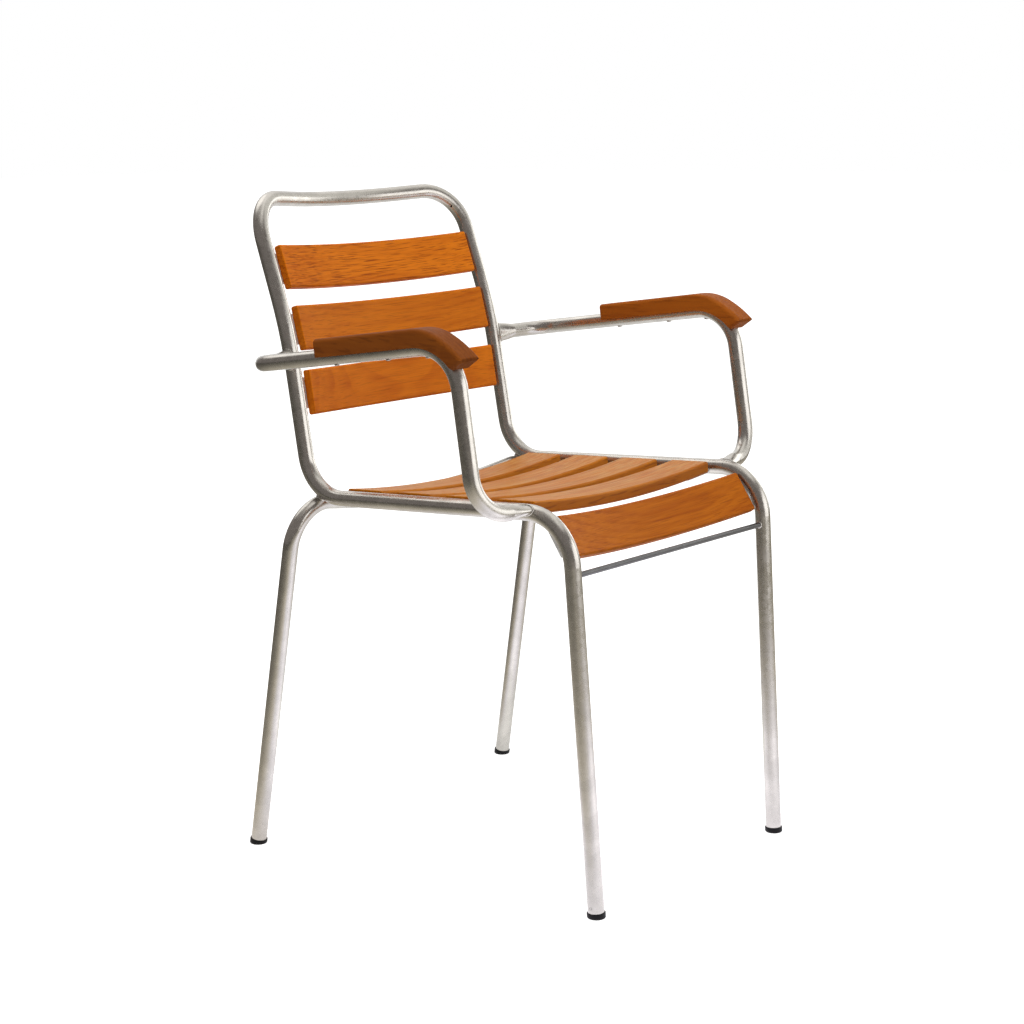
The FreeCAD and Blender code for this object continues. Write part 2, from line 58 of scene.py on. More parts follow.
# the last key of each cut is how strongly painted light from above pales its upward faces
WOOD_CUTS = {
    "seat": dict(roughness=0.46, sheen=0.18, ring_width=0.0072, grain_axis=0, thin_axis=2, top_light=0.45),
    "back": dict(roughness=0.46, sheen=0.08, ring_width=0.0064, grain_axis=0, thin_axis=1, top_light=0.0),
    "rest": dict(roughness=0.54, sheen=0.10, ring_width=0.0058, grain_axis=1, thin_axis=2, top_light=0.0),
}
SEAT_TONE, SEAT_PORES, REST_PORES = 0.84, 0.45, 0.3
# light tan painted onto the upward faces of the boards: painted light from above
TOP_LIGHT_WOOD = (0.60, 0.41, 0.15, 1)
PORES_ALONG, PORES_ACROSS, PORES_THROUGH = 24.0, 1150.0, 260.0  # pores to a metre, each way of the board
FOOT_CAPS = sorted(n for n in nodes if n.startswith("foot_cap_"))
SCREW_NODES = sorted(n for n in nodes if n.endswith("_screws"))


# Pools of light that the metal mirrors in the floor: place, strength and spread
FLOOR_POOLS = [((0.12, -0.93, 0), 1.45, 0.62), ((0, 0, 0), 0.9, 0.35)]
FLOOR_REACH, FLOOR_GLOW = 30.0, 0.90
WHITE = (1, 1, 1, 1)


# ---------------------------------------------------------------- settings


def colour_setting(name, description, default):
    return FloatVectorProperty(
        name=name, description=description, subtype="COLOR", size=3, min=0, max=1, default=default)


def length_setting(name, description, default, smallest):
    return FloatProperty(name=name, description=description, unit="LENGTH", default=default, min=smallest)


def share_setting(name, description, default):
    return FloatProperty(name=name, description=description, subtype="FACTOR", min=0, max=1, default=default)


class ChairSteelSettings(bpy.types.PropertyGroup):
    zinc: colour_setting(
        "Zinc", "Colour of the galvanised tube", (0.60, 0.575, 0.535))
    spangle: length_setting(
        "Spangle", "Width of one zinc crystal", 0.006, 0.001)
    roughness: share_setting("Roughness", "Roughness of the zinc", 0.23)
    # partly painted light: the lugs' zinc is lighter and less metallic than the tube's, lifting them out of the shade
    # they sit in; the matt roughness is their own finish
    plate: colour_setting(
        "Plate", "Colour of the matt zinc on the lugs", (0.80, 0.785, 0.76))
    plate_roughness: share_setting("Plate roughness", "Roughness of the matt zinc on the lugs", 0.42)
    plate_metallic: share_setting("Plate metallic", "How metallic the matt zinc on the lugs is", 0.3)
    rod_roughness: share_setting("Rod roughness", "Roughness of the front rod", 0.34)
    screw_roughness: share_setting("Screw roughness", "Roughness of the plated screws", 0.3)
    screw_grain: length_setting("Screw grain", "Width of one crystal of the plating", 0.002, 0.0005)
    # the front rod's zinc colour is much darker than the tube's, and its roughness higher
    rod: colour_setting(
        "Rod", "Colour of the duller front rod", (0.165, 0.165, 0.17))
    screw_colour: colour_setting(
        "Screws", "Colour of the plated screws", (0.55, 0.54, 0.50))


class ChairScrewSettings(bpy.types.PropertyGroup):
    radius: length_setting(
        "Head radius", "Half the width of a lug screw's head", 0.0039, 0.001)
    height: length_setting(
        "Head height", "Height of a lug screw's head", 0.0022, 0.0005)
    low_radius: length_setting(
        "Armrest head radius", "Half the width of an armrest screw's head", 0.0032, 0.001)
    low_height: length_setting(
        "Armrest head height", "Height of an armrest screw's head", 0.0014, 0.0005)
    cad_height: length_setting(
        "Solid head height", "Height of the head in the solid that it stands for", 0.0024, 0.0005)
    recess: length_setting(
        "Recess", "Width of the cross recess", 0.0010, 0.0002)
    shank: length_setting(
        "Shank", "Width of the shank", 0.0040, 0.001)
    shank_length: length_setting("Shank length", "Length of the shank below the head", 0.006, 0.001)


class ChairWeldSettings(bpy.types.PropertyGroup):
    bead_radius: length_setting(
        "Bead radius", "Half the width of a weld bead", 0.0015, 0.0002)
    small_bead_radius: length_setting(
        "Lug bead radius", "Half the width of the beads at the lugs and the rod", 0.0011, 0.0002)
    ripple: length_setting(
        "Ripple", "Distance from one ripple of the bead to the next", 0.0016, 0.0002)
    reach: length_setting("Reach", "How near a piece's end lies to the tube that it is welded to", 0.0005, 0.0001)
    notch: length_setting("Notch", "Gap between two crossing tubes where their bead lies", 0.0022, 0.0002)
    arm_middle: length_setting("Arm middle", "Height between an arm's lower and upper weld", 0.56, 0.1)
    seed: IntProperty(name="Seed", description="Seed of the uneven bead", default=7)


class ChairDrainSettings(bpy.types.PropertyGroup):
    top: FloatVectorProperty(
        name="Top drain", description="Near this place at the left, and mirrored at the right",
        subtype="TRANSLATION", unit="LENGTH", size=3, default=(0.1778, 0.2427, 0.8082))
    top_radius: length_setting(
        "Top drain radius", "Half the width of the drain at the top bend", 0.0020, 0.0005)
    foot: FloatVectorProperty(
        name="Foot drain", description="Near this place at the left, and mirrored at the right",
        subtype="TRANSLATION", unit="LENGTH", size=3, default=(0.2038, -0.2863, 0.0135))
    foot_radius: length_setting(
        "Foot drain radius", "Half the width of the drain above the front foot", 0.0014, 0.0003)
    depth: length_setting("Depth", "Depth of the cup below the skin of the tube", 0.0004, 0.0001)
    rim: length_setting("Rim", "Width of the rim on the skin", 0.0003, 0.0001)
    lip: length_setting("Lip", "How far the rim stands off the skin", 0.00002, 0.00001)
    reach: length_setting("Reach", "How far a place may lie from the tube", 0.01, 0.001)


class ChairWoodSettings(bpy.types.PropertyGroup):
    back_light: colour_setting(
        "Back, light wood", "Early wood of the back slats", (0.64, 0.172, 0.006))
    back_dark: colour_setting(
        "Back, dark wood", "Late wood of the back slats", (0.38, 0.068, 0.002))
    seat_light: colour_setting(
        "Seat, light wood", "Early wood of the seat slats", (0.64, 0.205, 0.006))
    seat_dark: colour_setting(
        "Seat, dark wood", "Late wood of the seat slats", (0.42, 0.098, 0.003))
    rest_light: colour_setting(
        "Armrest, light wood", "Early wood of the armrests", (0.31, 0.080, 0.005))
    rest_dark: colour_setting(
        "Armrest, dark wood", "Late wood of the armrests", (0.175, 0.036, 0.003))


class ChairPlugSettings(bpy.types.PropertyGroup):
    colour: colour_setting(
        "Plastic", "Colour of the foot plugs", (0.004, 0.004, 0.005))


class ChairStageSettings(bpy.types.PropertyGroup):
    floor: colour_setting(
        "Floor", "Colour of the floor and backdrop", (0.86, 0.86, 0.86))
    room: colour_setting(
        "Room", "Colour of the studio walls on the camera's side", (0.20, 0.18, 0.17))
    key: FloatProperty(name="Key lamp", description="Power of the large lamp above", default=36.0, min=0)
    side: FloatProperty(
        name="Softbox", description="Power of the softbox that the metal mirrors", default=10.4, min=0)
    window: FloatProperty(name="Side window", description="Power of the narrow window", default=2.808, min=0)
    fill: FloatProperty(name="World", description="Strength of the light from all round", default=0.48, min=0)
    lens: FloatProperty(name="Lens", description="Focal length in millimetres", default=74.97, min=1)
    camera_place: FloatVectorProperty(
        name="Camera", description="Place of the camera", subtype="TRANSLATION", unit="LENGTH",
        size=3, default=(-2.1056, -1.7235, 0.9239))
    camera_shift: FloatVectorProperty(
        name="Camera shift", description="Shift of the lens, across and up, in frame widths", size=2,
        default=(0.01350, -0.06879))
    camera_turn: FloatProperty(
        name="Camera turn", description="Angle of the camera round the chair", subtype="ANGLE",
        default=math.radians(-50.48))
    camera_rise: FloatProperty(
        name="Camera rise", description="Angle that the camera looks down", subtype="ANGLE",
        default=math.radians(8.53))
    camera_roll: FloatProperty(
        name="Camera roll", description="Roll of the camera about its line of sight", subtype="ANGLE",
        default=math.radians(-0.69))


# ---------------------------------------------------------------- node helpers


def wire(tree, made, socket, value):
    """Feeds a socket of a new node with another socket, or sets its value."""
    if isinstance(value, bpy.types.NodeSocket):
        tree.links.new(value, made.inputs[socket])
    elif value is not None:
        made.inputs[socket].default_value = value


def node(tree, kind, inputs=None, **settings):
    made = tree.nodes.new(kind)
    for name, value in settings.items():
        setattr(made, name, value)
    for socket, value in (inputs or {}).items():
        wire(tree, made, socket, value)
    return made


def math_node(tree, operation, a, b=None, clamp=False):
    return node(tree, "ShaderNodeMath", {0: a, 1: b}, operation=operation, use_clamp=clamp).outputs[0]


def ramp(tree, value, low, high, to_low=0.0, to_high=1.0, smooth=True):
    kind = "SMOOTHSTEP" if smooth else "LINEAR"
    return node(
        tree, "ShaderNodeMapRange", {0: value, 1: low, 2: high, 3: to_low, 4: to_high},
        interpolation_type=kind).outputs[0]


def mix_colour(tree, share, first, second, blend="MIX"):
    return node(
        tree, "ShaderNodeMix", {0: share, 6: first, 7: second},
        data_type="RGBA", blend_type=blend).outputs[2]


def noise(tree, vector, scale, detail=2.0, roughness=0.5, distortion=0.0):
    made = node(tree, "ShaderNodeTexNoise", {
        "Vector": vector, "Scale": scale, "Detail": detail,
        "Roughness": roughness, "Distortion": distortion})
    return made.outputs[0]


def new_group(name, inputs, outputs):
    group = bpy.data.node_groups.new(name, "ShaderNodeTree")
    for label, kind, default in inputs:
        socket = group.interface.new_socket(name=label, in_out="INPUT", socket_type=kind)
        socket.default_value = default
    for label, kind in outputs:
        group.interface.new_socket(name=label, in_out="OUTPUT", socket_type=kind)
    return group, group.nodes.new("NodeGroupInput"), group.nodes.new("NodeGroupOutput")


def use_group(tree, group, values):
    made = tree.nodes.new("ShaderNodeGroup")
    made.node_tree = group
    for label, value in values.items():
        wire(tree, made, label, value)
    return made


def new_material(name):
    made = bpy.data.materials.new(name)
    made.use_nodes = True
    tree = made.node_tree
    tree.nodes.clear()
    surface = node(tree, "ShaderNodeBsdfPrincipled")
    output = node(tree, "ShaderNodeOutputMaterial")
    tree.links.new(surface.outputs[0], output.inputs[0])
    return made, tree, surface


def dress(names, material):
    for name in names:
        slots = nodes[name].data.materials
        if not slots:
            slots.append(material)
        for i in range(len(slots)):
            slots[i] = material


# ---------------------------------------------------------------- shared effects


def zinc_effect():
    """Crystals, dull patches and fine grit of hot-dip zinc."""
    if "Zinc spangle" in bpy.data.node_groups:
        return bpy.data.node_groups["Zinc spangle"]
    group, given, result = new_group(
        "Zinc spangle",
        [("Crystal Size", "NodeSocketFloat", 0.011), ("Colour", "NodeSocketColor", (0.6, 0.57, 0.5, 1)),
         ("Roughness", "NodeSocketFloat", 0.3)],
        [("Colour", "NodeSocketColor"), ("Roughness", "NodeSocketFloat"), ("Height", "NodeSocketFloat")])
    place = node(group, "ShaderNodeTexCoord").outputs["Object"]
    wobble = node(group, "ShaderNodeTexNoise", {"Vector": place, "Scale": 140.0, "Detail": 2.0}).outputs[1]
    wobble = node(group, "ShaderNodeVectorMath", {0: wobble, 1: (0.5, 0.5, 0.5)}, operation="SUBTRACT").outputs[0]
    wobble = node(group, "ShaderNodeVectorMath", {0: wobble, 3: 0.008}, operation="SCALE").outputs[0]
    bent = node(group, "ShaderNodeVectorMath", {0: place, 1: wobble}, operation="ADD").outputs[0]
    density = math_node(group, "DIVIDE", 1.0, given.outputs["Crystal Size"])
    cells = node(group, "ShaderNodeTexVoronoi", {"Vector": bent, "Scale": density, "Randomness": 1.0})
    tone = node(group, "ShaderNodeSeparateColor", {0: cells.outputs["Color"]}).outputs[0]
    patches = ramp(group, noise(group, place, 34.0, 3.0, 0.6), 0.38, 0.66)
    grit = noise(group, place, 260.0, 2.0, 0.5)
    shade = math_node(
        group, "ADD", ramp(group, tone, 0.0, 1.0, 0.94, 1.03, False),
        ramp(group, patches, 0.0, 1.0, -0.06, 0.03, False))
    shade = math_node(group, "ADD", shade, ramp(group, grit, 0.3, 0.7, -0.02, 0.02, False))
    colour = mix_colour(group, 1.0, given.outputs["Colour"], node(
        group, "ShaderNodeCombineColor", {0: shade, 1: shade, 2: shade}).outputs[0], "MULTIPLY")
    rough = math_node(group, "ADD", given.outputs["Roughness"], ramp(group, tone, 0.0, 1.0, -0.03, 0.05, False))
    rough = math_node(group, "ADD", rough, ramp(group, patches, 0.0, 1.0, 0.05, -0.02, False))
    height = math_node(
        group, "ADD", math_node(group, "MULTIPLY", tone, 0.3), math_node(group, "MULTIPLY", patches, 0.5))
    group.links.new(colour, result.inputs["Colour"])
    group.links.new(rough, result.inputs["Roughness"])
    group.links.new(height, result.inputs["Height"])
    return group


def wood_effect():
    """Growth rings, fibres, pores and end grain of an oiled hardwood, with its grain along X of the given place."""
    if "Oiled hardwood" in bpy.data.node_groups:
        return bpy.data.node_groups["Oiled hardwood"]
    group, given, result = new_group(
        "Oiled hardwood",
        [("Place", "NodeSocketVector", (0, 0, 0)), ("Light", "NodeSocketColor", (0.6, 0.2, 0.03, 1)),
         ("Dark", "NodeSocketColor", (0.3, 0.07, 0.01, 1)), ("End Grain", "NodeSocketFloat", 0.0),
         ("Ring Width", "NodeSocketFloat", 0.006), ("Pores", "NodeSocketFloat", 0.5),
         ("Pore Scale", "NodeSocketVector", (26.0, 1150.0, 1150.0)),
         ("Roughness", "NodeSocketFloat", 0.45)],
        [("Colour", "NodeSocketColor"), ("Roughness", "NodeSocketFloat"), ("Height", "NodeSocketFloat")])
    place = given.outputs["Place"]

    def stretched(along, across):
        return node(group, "ShaderNodeMapping", {"Vector": place, "Scale": (along, across, across)}).outputs[0]

    # Rings: the distance from a pith line that wanders slowly along the board
    sway = noise(group, stretched(2.2, 9.0), 1.0, 2.0, 0.5)
    depth_sway = noise(group, stretched(3.1, 14.0), 1.7, 2.0, 0.5)
    parts = node(group, "ShaderNodeSeparateXYZ", {0: place})
    across = math_node(group, "ADD", parts.outputs[1], ramp(group, sway, 0.0, 1.0, -0.018, 0.018, False))
    depth = math_node(group, "ADD", parts.outputs[2], ramp(group, depth_sway, 0.0, 1.0, -0.012, 0.012, False))
    radius = math_node(group, "SQRT", math_node(
        group, "ADD", math_node(group, "MULTIPLY", across, across), math_node(group, "MULTIPLY", depth, depth)))
    turns = math_node(group, "DIVIDE", radius, given.outputs["Ring Width"])
    ring = math_node(group, "FRACT", turns)
    late = math_node(group, "MULTIPLY", ramp(group, ring, 0.35, 0.86), ramp(group, ring, 1.0, 0.90))
    strength = ramp(group, noise(group, stretched(5.0, 30.0), 1.0, 1.0), 0.3, 0.7, 0.25, 0.9)
    late = math_node(group, "MULTIPLY", late, strength)
    fibre = noise(group, stretched(9.0, 420.0), 1.0, 3.0, 0.65)
    streak = ramp(group, noise(group, stretched(3.0, 110.0), 1.0, 2.0, 0.5), 0.35, 0.75)
    cloud = noise(group, stretched(5.0, 16.0), 1.0, 2.0, 0.5)
    fine = node(
        group, "ShaderNodeVectorMath", {0: place, 1: given.outputs["Pore Scale"]}, operation="MULTIPLY").outputs[0]
    pore = ramp(group, noise(group, fine, 1.0, 1.0, 0.5), 0.54, 0.68)
    pore = math_node(group, "MULTIPLY", pore, given.outputs["Pores"])
    share = math_node(
        group, "ADD", math_node(group, "MULTIPLY", late, 0.34), math_node(group, "MULTIPLY", streak, 0.30))
    share = math_node(group, "ADD", share, ramp(group, fibre, 0.3, 0.7, -0.10, 0.16, False))
    share = math_node(group, "ADD", share, ramp(group, cloud, 0.3, 0.7, -0.12, 0.18, False), True)
    share = math_node(group, "ADD", share, math_node(group, "MULTIPLY", given.outputs["End Grain"], 0.15), True)
    colour = mix_colour(group, share, given.outputs["Light"], given.outputs["Dark"])
    pore_dark = mix_colour(group, 1.0, given.outputs["Dark"], (0.45, 0.40, 0.35, 1), "MULTIPLY")
    colour = mix_colour(group, pore, colour, pore_dark)
    rough = math_node(group, "ADD", given.outputs["Roughness"], ramp(group, fibre, 0.3, 0.7, -0.04, 0.08, False))
    rough = math_node(group, "ADD", rough, math_node(group, "MULTIPLY", given.outputs["End Grain"], 0.2))
    height = math_node(
        group, "SUBTRACT", math_node(group, "MULTIPLY", fibre, 0.4), math_node(group, "MULTIPLY", pore, 0.6))
    height = math_node(group, "SUBTRACT", height, math_node(group, "MULTIPLY", late, 0.2))
    group.links.new(colour, result.inputs["Colour"])
    group.links.new(rough, result.inputs["Roughness"])
    group.links.new(height, result.inputs["Height"])
    return group


def steel_material(name, colour, crystal, roughness, metallic=0.96):
    made, tree, surface = new_material(name)
    effect = use_group(tree, zinc_effect(), {
        "Crystal Size": crystal, "Colour": (*colour, 1), "Roughness": roughness})
    bump = node(tree, "ShaderNodeBump", {
        "Strength": 0.07, "Distance": 0.0003, "Height": effect.outputs["Height"]})
    surface.inputs["Metallic"].default_value = metallic
    tree.links.new(effect.outputs["Colour"], surface.inputs["Base Color"])
    tree.links.new(effect.outputs["Roughness"], surface.inputs["Roughness"])
    tree.links.new(bump.outputs[0], surface.inputs["Normal"])
    return made


def wood_material(
        name, light, dark, tone, pores, turn, shift, roughness, sheen, ring_width, grain_axis, thin_axis, top_light):
    """Wood whose grain runs along one axis of the chair; the turn and shift choose the cut of the board.

    The pores run long on the wide face, across the thin axis. The last argument is how strongly the upward faces are
    paled towards a light tan, in streaks along the grain: painted light from above.
    """
    made, tree, surface = new_material(name)
    place = node(tree, "ShaderNodeTexCoord").outputs["Object"]
    mapped = node(tree, "ShaderNodeMapping", {"Vector": place, "Location": shift, "Rotation": turn}).outputs[0]
    facing = node(tree, "ShaderNodeSeparateXYZ", {0: node(tree, "ShaderNodeNewGeometry").outputs["Normal"]}).outputs
    end = ramp(tree, math_node(tree, "ABSOLUTE", facing[grain_axis]), 0.72, 0.92)
    effect = use_group(tree, wood_effect(), {
        "Place": mapped, "Light": (*(c * tone for c in light), 1), "Dark": (*(c * tone for c in dark), 1),
        "End Grain": end, "Ring Width": ring_width, "Pores": pores, "Roughness": roughness,
        "Pore Scale": (PORES_ALONG, *(PORES_THROUGH if k == thin_axis else PORES_ACROSS for k in (1, 2)))})
    bump = node(tree, "ShaderNodeBump", {
        "Strength": 0.35, "Distance": 0.0003, "Height": effect.outputs["Height"]})
    surface.inputs["Specular IOR Level"].default_value = sheen
    along = tuple(9 if k == grain_axis else 420 for k in range(3))
    # painted light from above: upward faces are paled towards a light tan, in streaks along the grain
    top_light_share = noise(tree, node(tree, "ShaderNodeMapping", {"Vector": place, "Scale": along}).outputs[0], 1.0, 2.0, 0.6)
    top_light_share = math_node(tree, "MULTIPLY", ramp(tree, top_light_share, 0.42, 0.68), ramp(tree, facing[2], 0.90, 0.98, 0.0, top_light))
    colour = mix_colour(tree, top_light_share, effect.outputs["Colour"], TOP_LIGHT_WOOD)
    tree.links.new(colour, surface.inputs["Base Color"])
    tree.links.new(effect.outputs["Roughness"], surface.inputs["Roughness"])
    tree.links.new(bump.outputs[0], surface.inputs["Normal"])
    return made


# ---------------------------------------------------------------- mesh helpers


def merged_copy(name):
    """BMesh of a CAD node with its loose triangles joined."""
    mesh = bmesh.new()
    mesh.from_mesh(nodes[name].data)
    bmesh.ops.remove_doubles(mesh, verts=mesh.verts, dist=1e-6)
    return mesh


def islands(mesh):
    """Lists of the points of each connected part of a BMesh."""
    left = set(mesh.verts)
    found = []
    while left:
        front = [left.pop()]
        part = list(front)
        while front:
            here = front.pop()
            for edge in here.link_edges:
                other = edge.other_vert(here)
                if other in left:
                    left.remove(other)
                    part.append(other)
                    front.append(other)
        found.append([v.co.copy() for v in part])
    return found


def ring_round(points, centre, axis, steps):
    """The outermost points round an axis, one for each of a number of equal sectors, in order."""
    side = axis.orthogonal().normalized()
    up = axis.cross(side).normalized()
    best = {}
    for point in points:
        spoke = point - centre
        a, b = spoke.dot(side), spoke.dot(up)
        sector = round(math.atan2(b, a) / math.tau * steps) % steps
        if sector not in best or math.hypot(a, b) > best[sector][0]:
            best[sector] = (math.hypot(a, b), point)
    return [best[s][1] for s in sorted(best)]


def end_ring(cut_node, onto, reach, steps, keep=None):
    """The edge of a piece's end where it is cut to fit against another piece."""
    mesh = merged_copy(cut_node)
    near = []
    for vert in mesh.verts:
        if keep and not keep(vert.co):
            continue
        hit = onto.find_nearest(vert.co, reach)
        if hit[0] is not None:
            near.append((vert.co.copy(), hit[0].copy()))
    mesh.free()
    if len(near) < 4:
        raise RuntimeError("no joint found at " + cut_node)
    centre = sum((p for p, _ in near), Vector()) / len(near)
    spread = [p - centre for p, _ in near]
    axis = Vector()
    for a, b in zip(spread, spread[1:]):
        turn = a.cross(b)
        if axis.length and turn.dot(axis) < 0:
            turn = -turn
        axis += turn
    return ring_round([p for p, _ in near], centre, axis.normalized(), steps)


def crossing_ring(first, onto, near_x, gap, steps):
    """A ring in the notch round the place where two crossing tubes touch."""
    mesh = merged_copy(first)
    own = BVHTree.FromBMesh(mesh)
    best = None
    for vert in mesh.verts:
        if vert.co.x * near_x > 0:
            hit = onto.find_nearest(vert.co, 0.01)
            if hit[0] is not None and (best is None or hit[3] < best[2]):
                best = (vert.co.copy(), hit[0].copy(), hit[3])
    mesh.free()
    if best is None:
        raise RuntimeError("no crossing found at " + first)
    middle = (best[0] + best[1]) / 2
    normal = (best[1] - best[0]).normalized()
    side = normal.orthogonal().normalized()
    up = normal.cross(side)
    points = []
    for i in range(steps):
        turn = math.tau * i / steps
        way = side * math.cos(turn) + up * math.sin(turn)
        at = middle.copy()
        for k in range(1, 60):
            at = middle + way * (0.0003 * k)
            below, above = own.find_nearest(at), onto.find_nearest(at)
            at = (below[0] + above[0]) / 2
            if (above[0] - below[0]).length > gap:
                break
        points.append(at)
    return points


# ---------------------------------------------------------------- makers and weld beads


def maker_tree(name, inputs):
    """A geometry nodes tree that takes a mesh, some numbers and a material."""
    tree = bpy.data.node_groups.new(name, "GeometryNodeTree")
    tree.interface.new_socket(name="Geometry", in_out="INPUT", socket_type="NodeSocketGeometry")
    for label, kind, default in inputs:
        tree.interface.new_socket(name=label, in_out="INPUT", socket_type=kind).default_value = default
    tree.interface.new_socket(name="Material", in_out="INPUT", socket_type="NodeSocketMaterial")
    tree.interface.new_socket(name="Geometry", in_out="OUTPUT", socket_type="NodeSocketGeometry")
    return tree, tree.nodes.new("NodeGroupInput"), tree.nodes.new("NodeGroupOutput")


def end_maker(tree, shape, given, result):
    real = node(tree, "GeometryNodeRealizeInstances", {"Geometry": shape}).outputs[0]
    coated = node(tree, "GeometryNodeSetMaterial", {"Geometry": real, "Material": given.outputs["Material"]})
    tree.links.new(coated.outputs[0], result.inputs[0])
    return tree


def bead_tree():
    """Geometry nodes: a rippled weld bead along every edge loop that comes in."""
    tree, given, result = maker_tree("Weld bead", [
        ("Radius", "NodeSocketFloat", 0.0015), ("Ripple", "NodeSocketFloat", 0.0016), ("Seed", "NodeSocketInt", 7)])
    line = node(tree, "GeometryNodeMeshToCurve", {"Mesh": given.outputs["Geometry"]}).outputs[0]
    coarse = node(
        tree, "GeometryNodeResampleCurve", {"Curve": line, "Length": given.outputs["Ripple"]}, mode="LENGTH")
    smooth = node(
        tree, "GeometryNodeCurveSplineType", {"Curve": coarse.outputs[0]}, spline_type="CATMULL_ROM").outputs[0]
    step = math_node(tree, "DIVIDE", given.outputs["Ripple"], 3.0)
    fine = node(tree, "GeometryNodeResampleCurve", {"Curve": smooth, "Length": step}, mode="LENGTH")
    along = node(tree, "GeometryNodeSplineParameter").outputs["Length"]
    phase = math_node(tree, "MULTIPLY", math_node(tree, "DIVIDE", along, given.outputs["Ripple"]), math.tau)
    wave = math_node(tree, "MULTIPLY", math_node(tree, "SINE", phase), 0.10)
    uneven = node(tree, "ShaderNodeTexNoise", {
        "W": given.outputs["Seed"], "Scale": 180.0, "Detail": 1.0}, noise_dimensions="4D").outputs[0]
    scale = math_node(tree, "ADD", math_node(tree, "ADD", wave, math_node(tree, "MULTIPLY", uneven, 0.5)), 0.75)
    swollen = node(tree, "GeometryNodeSetCurveRadius", {"Curve": fine.outputs[0], "Radius": scale}).outputs[0]
    profile = node(
        tree, "GeometryNodeCurvePrimitiveCircle", {"Resolution": 10, "Radius": given.outputs["Radius"]}).outputs[0]
    skin = node(tree, "GeometryNodeCurveToMesh", {"Curve": swollen, "Profile Curve": profile})
    wire(tree, skin, "Scale", node(tree, "GeometryNodeInputRadius").outputs[0])
    shaded = node(tree, "GeometryNodeSetShadeSmooth", {"Geometry": skin.outputs[0]}).outputs[0]
    return end_maker(tree, shaded, given, result)


def baked(name, source, tree, values):
    """Runs a geometry nodes tree once on a mesh and returns the plain mesh as a piece."""
    carrier = bpy.data.objects.new(name + ".maker", source)
    bpy.context.scene.collection.objects.link(carrier)
    modifier = carrier.modifiers.new("Maker", "NODES")
    modifier.node_group = tree
    for item in tree.interface.items_tree:
        if item.in_out == "INPUT" and item.name in values:
            modifier[item.identifier] = values[item.name]
    bpy.context.view_layer.update()
    evaluated = carrier.evaluated_get(bpy.context.evaluated_depsgraph_get())
    mesh = bpy.data.meshes.new_from_object(evaluated)
    carrier.modifiers.clear()
    bpy.data.objects.remove(carrier)
    mesh.name = name
    piece = bpy.data.objects.new(name, mesh)
    bpy.context.scene.collection.objects.link(piece)
    return piece


def loops_mesh(name, loops):
    mesh = bpy.data.meshes.new(name)
    points, edges = [], []
    for loop in loops:
        first = len(points)
        points += [tuple(p) for p in loop]
        edges += [(first + i, first + (i + 1) % len(loop)) for i in range(len(loop))]
    mesh.from_pydata(points, edges, [])
    return mesh


# ---------------------------------------------------------------- screws and drain holes


def screw_seats(name, head):
    """Where each CAD screw's head rests, with the direction that its head points in."""
    mesh = merged_copy(name)
    seats = []
    for part in islands(mesh):
        middle = sum(part, Vector()) / len(part)
        tip = max(part, key=lambda p: (p - middle).length)
        away = (middle - tip).normalized()
        far = max((p - tip).dot(away) for p in part)
        face = [p for p in part if (p - tip).dot(away) > far - 0.0004]
        top = sum(face, Vector()) / len(face)
        outward = (top - tip).normalized()
        seats.append((top - outward * head, outward))
    mesh.free()
    return seats


